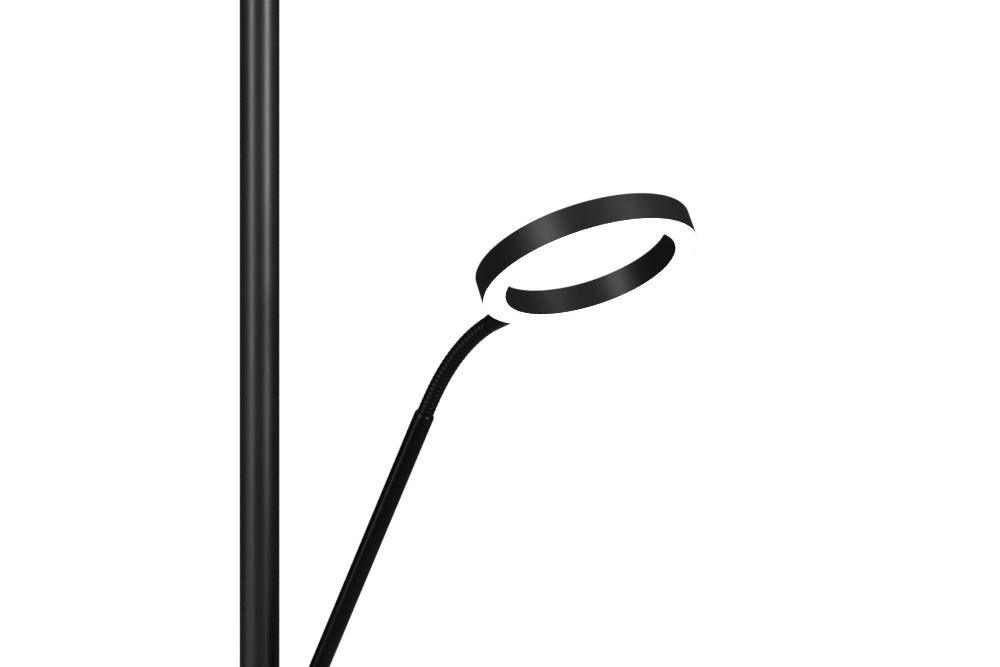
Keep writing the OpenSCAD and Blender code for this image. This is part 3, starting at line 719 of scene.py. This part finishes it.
def neck_joints():
    """Joint places along the neck, and its direction at each."""
    names = ["flex_bend", "flex_side"]
    for i in range(2, LINKS // 2 + 1):
        names += [f"flex_bend_{i}", f"flex_side_{i}"]
    points = [joint_at(n) for n in names] + [NECK_END]
    chords = [(points[k + 1] - points[k]).normalized() for k in range(LINKS)]
    ways = [ARM_WAY.copy()]
    for k in range(1, LINKS):
        ways.append((chords[k - 1] + chords[k]).normalized())
    ways.append(NECK_WAY.normalized())
    return points, ways


POINTS, WAYS = neck_joints()
LINK_LEN = (POINTS[1] - POINTS[0]).length
RIBS_PER_LINK = 3


def on_neck(along):
    """Point on the neck's centre line at a distance from the tube's end, which may be negative."""
    if along <= 0:
        return POINTS[0] + WAYS[0] * along
    k = min(int(along / LINK_LEN), LINKS - 1)
    t = along / LINK_LEN - k
    h00, h10 = 2 * t**3 - 3 * t**2 + 1, t**3 - 2 * t**2 + t
    h01, h11 = -2 * t**3 + 3 * t**2, t**3 - t**2
    return (POINTS[k] * h00 + WAYS[k] * (h10 * LINK_LEN)
            + POINTS[k + 1] * h01 + WAYS[k + 1] * (h11 * LINK_LEN))


def ribbed_neck_tree():
    """Geometry nodes: a closed tube along a line, with broad ribs and a narrow groove between
    them. The line starts and ends in a groove."""
    tree = bpy.data.node_groups.new("ribbed_neck", "GeometryNodeTree")
    socket(tree, "Geometry", "NodeSocketGeometry")
    socket(tree, "Ribs", "NodeSocketInt", value=3)
    socket(tree, "Steps", "NodeSocketInt", value=16)
    socket(tree, "Crest Radius", "NodeSocketFloat", value=5.0 * MM)
    socket(tree, "Groove Depth", "NodeSocketFloat", value=0.26 * MM)
    socket(tree, "Fullness", "NodeSocketFloat", value=0.5)
    socket(tree, "Material", "NodeSocketMaterial")
    socket(tree, "Geometry", "NodeSocketGeometry", "OUTPUT")
    new, link = tree.nodes.new, tree.links.new
    given, out = new("NodeGroupInput"), new("NodeGroupOutput")

    line = new("GeometryNodeMeshToCurve")
    link(given.outputs["Geometry"], line.inputs["Mesh"])
    count = math_node(tree, "MULTIPLY", given.outputs["Ribs"], given.outputs["Steps"])
    even = new("GeometryNodeResampleCurve")
    link(line.outputs[0], even.inputs["Curve"])
    link(math_node(tree, "ADD", count, 1.0), even.inputs["Count"])

    # height of the surface: full over a rib, low in a groove
    along = new("GeometryNodeSplineParameter").outputs["Factor"]
    turns = math_node(tree, "MULTIPLY", along, given.outputs["Ribs"])
    wave = math_node(tree, "ABSOLUTE", math_node(tree, "SINE", math_node(tree, "MULTIPLY", turns, math.pi)))
    swell = math_node(tree, "POWER", wave, given.outputs["Fullness"])
    sunk = math_node(tree, "MULTIPLY", math_node(tree, "SUBTRACT", 1.0, swell), given.outputs["Groove Depth"])
    radius = math_node(tree, "SUBTRACT", given.outputs["Crest Radius"], sunk)

    circle = new("GeometryNodeCurvePrimitiveCircle")
    circle.inputs["Resolution"].default_value = 72
    circle.inputs["Radius"].default_value = 1.0
    tube = new("GeometryNodeCurveToMesh")
    link(even.outputs[0], tube.inputs["Curve"])
    link(circle.outputs[0], tube.inputs["Profile Curve"])
    link(radius, tube.inputs["Scale"])
    tube.inputs["Fill Caps"].default_value = True
    real = new("GeometryNodeRealizeInstances")
    link(tube.outputs[0], real.inputs[0])
    finish = new("GeometryNodeSetMaterial")
    link(real.outputs[0], finish.inputs["Geometry"])
    link(given.outputs["Material"], finish.inputs["Material"])
    link(finish.outputs[0], out.inputs["Geometry"])
    return tree


def grown(name, base_mesh, tree, **values):
    """Plain mesh that a geometry tree makes from base_mesh."""
    seed = bpy.data.objects.new(name + "_seed", base_mesh)
    bpy.context.scene.collection.objects.link(seed)
    modifier = seed.modifiers.new(name, "NODES")
    modifier.node_group = tree
    sockets = {s.name: s.identifier for s in tree.interface.items_tree if s.in_out == "INPUT"}
    for key, value in values.items():
        modifier[sockets[key.replace("_", " ").title()]] = value
    graph = bpy.context.evaluated_depsgraph_get()
    mesh = bpy.data.meshes.new_from_object(seed.evaluated_get(graph))
    bpy.data.objects.remove(seed)
    bpy.data.meshes.remove(base_mesh)
    mesh.name = name
    return mesh


def make_neck():
    """Ribbed tube in stretches from groove to groove, each curved across one joint as the neck stands at rest."""
    tree = ribbed_neck_tree()
    pitch = LINK_LEN / RIBS_PER_LINK
    pin_r, pin_len, pin_out = 2.9 * MM, 9 * MM, 8.5 * MM
    for k in range(LINKS + 1):
        first = (k * RIBS_PER_LINK - 1) * pitch
        ribs = RIBS_PER_LINK if k < LINKS else 1
        steps = 12 * ribs
        line = [on_neck(first + ribs * pitch * i / steps) for i in range(steps + 1)]
        name = f"ribbed_neck_{k + 1}"
        path = bpy.data.meshes.new("neck_line")
        path.from_pydata(line, [(i, i + 1) for i in range(steps)], [])
        mesh = grown(name, path, tree, ribs=ribs, material=LOOK["neck"])
        bm = bmesh.new()
        bm.from_mesh(mesh)
        bmesh.ops.recalc_face_normals(bm, faces=bm.faces)
        bpy.data.meshes.remove(mesh)
        if k == LINKS:
            # pin that carries the ring's cone
            way = WAYS[LINKS]
            turn = way.to_track_quat("Z", "Y").to_matrix().to_4x4()
            middle = Matrix.Translation(line[-1] + way * (pin_out - pin_len / 2))
            bmesh.ops.create_cone(bm, cap_ends=True, segments=64, radius1=pin_r, radius2=pin_r,
                                  depth=pin_len, matrix=middle @ turn)
            as_piece(name, bm, f"neck_{LINKS}", "neck", sharp=40.0)
            continue
        piece = as_piece(name, bm, None, "neck", [f"flex_link_{k + 1}"], 40.0)
        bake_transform(piece)


def make_neck_cone():
    """Smooth cone that flares into the ring's wall."""
    place = head_frame()
    reach, ring_r = RING["reach"], RING["od"] / 2
    low_r, top_r = 4.95 * MM, 6.9 * MM
    rows, around = 40, 96
    bm = bmesh.new()
    columns = []

    def ring_of(radius, along, follow):
        ring = []
        for k in range(around):
            angle = 2 * math.pi * k / around
            x, y = radius * math.cos(angle), radius * math.sin(angle)
            dip = ring_r - math.sqrt(max(ring_r**2 - y**2, 0.0))
            ring.append(bm.verts.new((x, y, along + dip * follow)))
        return ring

    start, edge, sunk = 0.35 * MM, 0.4 * MM, 0.2 * MM
    bore, bore_end = 3.05 * MM, start + 9 * MM
    columns.append(ring_of(bore, bore_end, 0))
    columns.append(ring_of(bore, start, 0))
    for s in range(6):
        angle = math.radians(90 * s / 5)
        columns.append(ring_of(low_r - edge + edge * math.sin(angle), start + edge - edge * math.cos(angle), 0))
    for s in range(1, rows + 1):
        t = s / rows
        along = start + edge + (reach - start - 0.3 * MM) * t
        radius = low_r + (top_r - low_r) * (0.85 * t + 0.15 * t**6)
        columns.append(ring_of(radius, along, t**2))
    columns.append(ring_of(bore + 1 * MM, reach + sunk, 1))
    closing = bm.verts.new((0, 0, reach + sunk))
    inner_end = bm.verts.new((0, 0, bore_end))
    for i in range(len(columns) - 1):
        for k in range(around):
            n = (k + 1) % around
            bm.faces.new((columns[i][k], columns[i][n], columns[i + 1][n], columns[i + 1][k]))
    for k in range(around):
        n = (k + 1) % around
        bm.faces.new((columns[-1][k], columns[-1][n], closing))
        bm.faces.new((columns[0][n], columns[0][k], inner_end))
    bmesh.ops.recalc_face_normals(bm, faces=bm.faces)
    bm.transform(place)
    as_piece("neck_cone_flared", bm, "reading_head", "neck", ["neck_cone"], 40.0)


# ---------------------------------------------------------------- rings


def make_ring(prefix, ring, place, body, nodes, looks, wall, plate, lens):
    """Channel with thin rims, and the opal ring that fills its open side."""
    outer, inner, half = ring["od"] / 2, ring["id"] / 2, ring["h"] / 2
    rim, taper, top = 0.22 * MM, 1.2 * MM, 0.45 * MM
    channel = rounded([
        (outer, -half, 0.08 * MM), (outer, half, top), (inner, half, top), (inner, -half, 0.08 * MM),
        (inner + rim, -half, 0.06 * MM), (inner + rim, -half + taper), (inner + wall, -half + taper + 0.6 * MM),
        (inner + wall, half - plate), (outer - wall, half - plate),
        (outer - wall, -half + taper + 0.6 * MM), (outer - rim, -half + taper), (outer - rim, -half, 0.06 * MM),
    ], 4, 0.5 * MM)
    as_piece(prefix + "_channel", turned(channel, place, 384), body, looks[0], [nodes[0]])
    play = 0.03 * MM
    pane = rounded([
        (outer - rim - play, -half + 0.03 * MM, 0.1 * MM), (outer - rim - play, -half + taper),
        (outer - wall - play, -half + taper + 0.5 * MM), (outer - wall - play, -half + lens),
        (inner + wall + play, -half + lens), (inner + wall + play, -half + taper + 0.5 * MM),
        (inner + rim + play, -half + taper), (inner + rim + play, -half + 0.03 * MM, 0.1 * MM),
    ], 4, 0.5 * MM)
    as_piece(prefix + "_opal", turned(pane, place, 384), body, looks[1], [nodes[1]])


def make_rings():
    make_ring("reading_ring", RING, reading_ring_frame(), "reading_head",
              ("reading_housing", "reading_diffuser"), ("ring", "opal"), 0.8 * MM, 1.5 * MM, 2.5 * MM)
    make_ring("uplight_ring", UP_RING, up_ring_frame(), "uplighter",
              ("uplight_housing", "uplight_diffuser"), ("ring", "opal_up"), 1.2 * MM, 1.6 * MM, 3 * MM)


def make_top():
    machined("top_fork", "housing", edge=0.5)
    machined("uplight_neck", "housing", edge=0.4)
    for node in ("tilt_screw", "tilt_nut"):
        machined(node, edge=0.2)
    for node in ("tilt_washers", "pivot_washers"):
        machined(node, edge=0.15)


make_base()
make_pole()
make_housing()
make_arm()
make_neck()
make_neck_cone()
make_rings()
make_top()


# ---------------------------------------------------------------- floor, light, camera

VIEW_AZIMUTH = 39.47  # degrees round from the front
EYE_ABOVE_PIVOT = 246.343 * MM


def pale_floor():
    """Wide plain floor, lit from below like a light table where the camera sees it, so that it
    runs into the white background. The lamp is lit by the soft panels alone."""
    radius, thick = 12.0, 0.02
    near, far, dim, white = 0.6, 5.0, 0.52, 1.02
    bm = turned([(0, -thick), (radius, -thick), (radius, 0), (0, 0)])
    mesh = bpy.data.meshes.new("floor")
    bm.to_mesh(mesh)
    bm.free()
    obj = bpy.data.objects.new("floor", mesh)
    bpy.context.scene.collection.objects.link(obj)
    material, tree, shader = new_material("pale_floor")
    where = tree.nodes.new("ShaderNodeTexCoord").outputs["Object"]
    tone = noise(tree, where, 3.0, 3.0, 0.5)
    tree.links.new(blended(tree, tone, (0.78, 0.78, 0.775), (0.8, 0.8, 0.795)), shader.inputs["Base Color"])
    shader.inputs["Roughness"].default_value = 0.75
    shader.inputs["Specular IOR Level"].default_value = 0.2
    length = tree.nodes.new("ShaderNodeVectorMath")
    length.operation = "LENGTH"
    tree.links.new(where, length.inputs[0])
    glow = spread(tree, length.outputs["Value"], near, far, dim, white)
    seen = tree.nodes.new("ShaderNodeLightPath").outputs["Is Camera Ray"]
    tree.links.new(math_node(tree, "MULTIPLY", glow, seen), shader.inputs["Emission Strength"])
    shader.inputs["Emission Color"].default_value = (1, 1, 1, 1)
    mesh.materials.append(material)


def soft_panel(name, azimuth, elevation, distance, width, height, watts,
               aim=(0.05, 0.0, 1.2), tint=(1.0, 1.0, 1.0), fan=180):
    """Rectangular softbox that faces aim. Azimuth is counted from the camera's, in degrees."""
    a, e = math.radians(VIEW_AZIMUTH + azimuth), math.radians(elevation)
    back = Vector((math.sin(a) * math.cos(e), -math.cos(a) * math.cos(e), math.sin(e)))
    data = bpy.data.lights.new(name, "AREA")
    data.shape = "RECTANGLE"
    data.size, data.size_y = width, height
    data.energy = watts
    data.color = tint
    data.spread = math.radians(fan)
    lamp = bpy.data.objects.new(name, data)
    lamp.location = Vector(aim) + back * distance
    lamp.rotation_euler = back.to_track_quat("Z", "Y").to_euler()
    lamp.visible_camera = False
    bpy.context.scene.collection.objects.link(lamp)


def make_light():
    high = (0.05, 0.0, 2.25)
    soft_panel("left_strip", -41, 0, 2.4, width=0.66, height=2.0, watts=21, aim=high,
               tint=(1.0, 0.955, 0.955), fan=110)
    soft_panel("right_strip", 51, 0, 2.4, width=0.6, height=2.0, watts=34, aim=high,
               tint=(1.0, 0.955, 0.99), fan=110)
    soft_panel("low_left", -68, -10, 2.4, width=0.7, height=0.4, watts=3)
    soft_panel("overhead", 0, 88, 2.6, width=2.6, height=2.6, watts=28)
    world = bpy.data.worlds.new("studio")
    bpy.context.scene.world = world
    world.use_nodes = True
    tree = world.node_tree
    tree.nodes.clear()
    seen = tree.nodes.new("ShaderNodeBackground")
    seen.inputs["Color"].default_value = (1, 1, 1, 1)
    seen.inputs["Strength"].default_value = 1.05
    fill = tree.nodes.new("ShaderNodeBackground")
    fill.inputs["Color"].default_value = (1.0, 0.99, 0.98, 1)
    fill.inputs["Strength"].default_value = 0.025
    path = tree.nodes.new("ShaderNodeLightPath")
    mix = tree.nodes.new("ShaderNodeMixShader")
    out = tree.nodes.new("ShaderNodeOutputWorld")
    tree.links.new(path.outputs["Is Camera Ray"], mix.inputs[0])
    tree.links.new(fill.outputs[0], mix.inputs[1])
    tree.links.new(seen.outputs[0], mix.inputs[2])
    tree.links.new(mix.outputs[0], out.inputs["Surface"])


def make_camera():
    """Level with the reading head, looking across the arm."""
    a = math.radians(VIEW_AZIMUTH)
    data = bpy.data.cameras.new("camera")
    data.lens = 72.0
    data.sensor_width = 36.0
    camera = bpy.data.objects.new("camera", data)
    camera.location = (0.9209, -0.8793, PIVOT.z + EYE_ABOVE_PIVOT)
    camera.rotation_euler = (math.radians(90), 0, a)
    bpy.context.scene.collection.objects.link(camera)
    bpy.context.scene.camera = camera


pale_floor()
make_light()
make_camera()
bpy.context.scene.view_settings.view_transform = "Standard"
